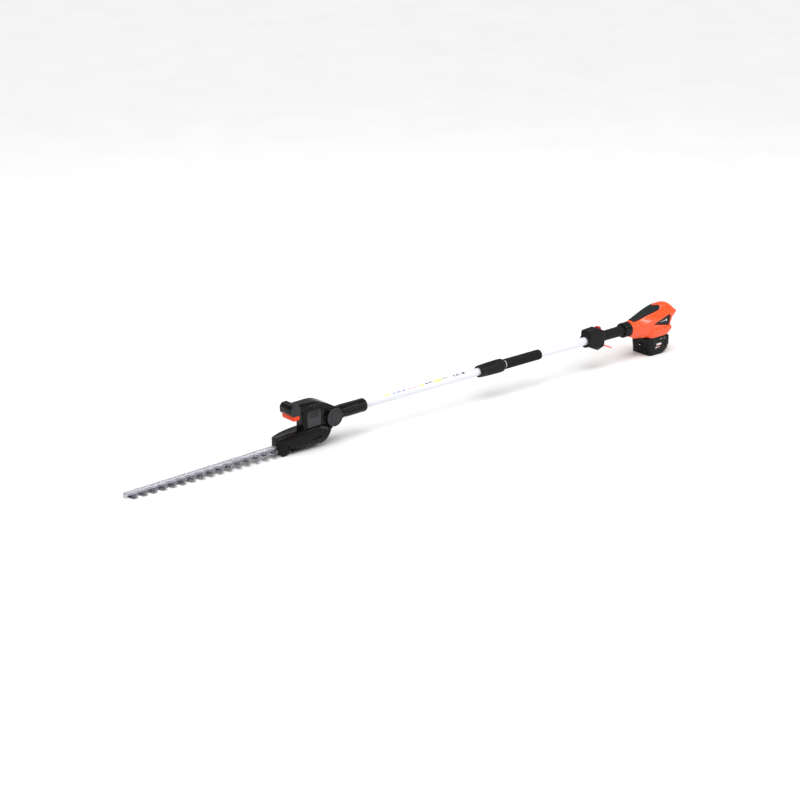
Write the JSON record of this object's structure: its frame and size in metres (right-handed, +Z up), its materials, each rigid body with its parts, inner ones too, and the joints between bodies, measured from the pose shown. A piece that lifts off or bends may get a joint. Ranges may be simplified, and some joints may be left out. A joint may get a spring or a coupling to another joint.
{
  "type": "pole hedge trimmer",
  "caption": "Battery pole hedge trimmer: telescopic twist-lock pole, tilting reciprocating cutter head, rear trigger grip and slide-on battery.",
  "frame": {"origin": "middle of the battery's flat underside, on which the tool rests", "axes": "+X along the pole towards the battery end, +Z up, the blade points along -X, +Y to the right hand of a user who faces the blade"},
  "size_m": [2.196, 0.084, 0.1701],
  "materials": {
    "orange_shell": "glossy moulded plastic, fine orange peel",
    "black_shell": "satin to gloss black moulded plastic",
    "matte_black": "fine matte texture",
    "soft_pad": "soft-touch dark grey",
    "foam": "closed-cell foam, matte",
    "white_paint": "white powder coat",
    "blade_steel": "ground and brushed",
    "bar_alloy": "satin anodised",
    "fastener_steel": "zinc plated",
    "trigger_orange": "satin orange plastic",
    "button_red": "satin dark red plastic",
    "grey_plastic": "glass-filled nylon",
    "board": "lacquered circuit board",
    "contact_brass": "bright",
    "cell_wrap": "heat-shrink film over steel cells",
    "natural_plastic": "unfilled nylon",
    "lead_rubber": "cable sheath"
  },
  "bodies": {
    "power_unit": {"housing_left": "orange_shell", "housing_right": "orange_shell", "top_pad": "soft_pad", "side_panels": "black_shell", "control_board": "board", "terminal_block": "matte_black", "battery_guide": "grey_plastic", "housing_screws": "fastener_steel", "rear_collar": "black_shell", "rear_grip": "soft_pad", "trigger_housing_left": "black_shell", "trigger_housing_right": "black_shell", "trigger_housing_screws": "fastener_steel", "trigger_pin": "fastener_steel", "switch_body": "matte_black", "outer_tube": "white_paint", "foam_grip": "foam", "clamp_collet": "grey_plastic", "pole_lead": "lead_rubber", "lock_off_spring": "fastener_steel"},
    "trigger": {"trigger_lever": "trigger_orange"},
    "lock_off": {"lock_off_button": "button_red"},
    "twist_collar": {"clamp_nut": "black_shell"},
    "battery": {"battery_case_lower": "black_shell", "battery_case_upper": "black_shell", "battery_cells": "cell_wrap", "cell_holder": "natural_plastic", "battery_contacts": "contact_brass"},
    "latch": {"battery_latch": "black_shell"},
    "gauge": {"gauge_button": "matte_black"},
    "front_pole": {"inner_tube": "white_paint", "tube_end_bush": "grey_plastic", "bracket_left": "black_shell", "bracket_right": "black_shell", "bracket_screws": "fastener_steel", "lock_ring": "fastener_steel", "head_lead": "lead_rubber"},
    "head": {"upper_case_left": "black_shell", "upper_case_right": "black_shell", "lower_case": "black_shell", "blade_guard": "matte_black", "t_bar": "black_shell", "pivot_cap_left": "matte_black", "pivot_cap_right": "matte_black", "pivot_bolt": "fastener_steel", "motor_can": "fastener_steel", "gearbox_plate": "fastener_steel", "blade_bar": "bar_alloy", "bar_bolts": "fastener_steel", "head_screws": "fastener_steel", "tilt_spring": "fastener_steel"},
    "release": {"tilt_lever": "trigger_orange"},
    "pawl": {"lock_pawl": "fastener_steel"},
    "rotor": {"motor_rotor": "fastener_steel"},
    "crank": {"crank_gear": "fastener_steel"},
    "upper_cutter": {"upper_blade": "blade_steel"},
    "lower_cutter": {"lower_blade": "blade_steel"}
  },
  "joints": [
    {"name": "trigger_squeeze", "type": "hinge", "parent": "power_unit", "child": "trigger", "pos_m": [-0.266, 0, 0.082], "axis": [0, -1, 0], "range_deg": [0, 16], "stiffness_Nm_per_rad": 0.3, "springref_deg": -20.05},
    {"name": "lock_off_press", "type": "slide", "parent": "power_unit", "child": "lock_off", "axis": [0, 0, -1], "range_m": [0, 0.003], "stiffness_N_per_m": 500, "springref_m": -0.004, "deforming": ["lock_off_spring"]},
    {"name": "collar_twist", "type": "hinge", "parent": "power_unit", "child": "twist_collar", "pos_m": [-0.75, 0, 0.104], "axis": [1, 0, 0], "range_deg": [0, 90]},
    {"name": "battery_slide", "type": "slide", "parent": "power_unit", "child": "battery", "axis": [1, 0, 0], "range_m": [0, 0.105]},
    {"name": "latch_press", "type": "slide", "parent": "battery", "child": "latch", "axis": [-1, 0, 0], "range_m": [0, 0.003], "stiffness_N_per_m": 600, "springref_m": -0.004},
    {"name": "gauge_press", "type": "slide", "parent": "battery", "child": "gauge", "axis": [0, 1, 0], "range_m": [0, 0.0008], "stiffness_N_per_m": 800, "springref_m": -0.001},
    {"name": "pole_slide", "type": "slide", "parent": "power_unit", "child": "front_pole", "axis": [1, 0, 0], "range_m": [0, 0.36], "deforming": ["pole_lead"]},
    {"name": "head_tilt", "type": "hinge", "parent": "front_pole", "child": "head", "pos_m": [-1.405, 0, 0.104], "axis": [0, 1, 0], "range_deg": [-75, 45]},
    {"name": "release_squeeze", "type": "slide", "parent": "head", "child": "release", "axis": [-0.0182, 0, 0.9998], "range_m": [0, 0.004], "stiffness_N_per_m": 400, "springref_m": -0.012, "deforming": ["tilt_spring"]},
    {"name": "pawl_lift", "type": "slide", "parent": "head", "child": "pawl", "axis": [-0.0182, 0, 0.9998], "range_m": [0, 0.004]},
    {"name": "crank_spin", "type": "hinge", "parent": "head", "child": "crank", "pos_m": [-1.50122, 0, 0.06025], "axis": [-0.0182, 0, 0.9998], "continuous": true},
    {"name": "motor_spin", "type": "hinge", "parent": "head", "child": "rotor", "pos_m": [-1.47123, 0, 0.06079], "axis": [-0.0182, 0, 0.9998], "continuous": true},
    {"name": "upper_blade_stroke", "type": "slide", "parent": "head", "child": "upper_cutter", "axis": [0.9998, 0, 0.0182], "range_m": [-0.0115, 0.0035]},
    {"name": "lower_blade_stroke", "type": "slide", "parent": "head", "child": "lower_cutter", "axis": [0.9998, 0, 0.0182], "range_m": [-0.0035, 0.0115]}
  ],
  "couplings": [
    {"joint": "pawl_lift", "follows": "release_squeeze", "ratio": 1},
    {"joint": "motor_spin", "follows": "crank_spin", "ratio": -3.8},
    {"joint": "lower_blade_stroke", "follows": "upper_blade_stroke", "ratio": -1}
  ]
}
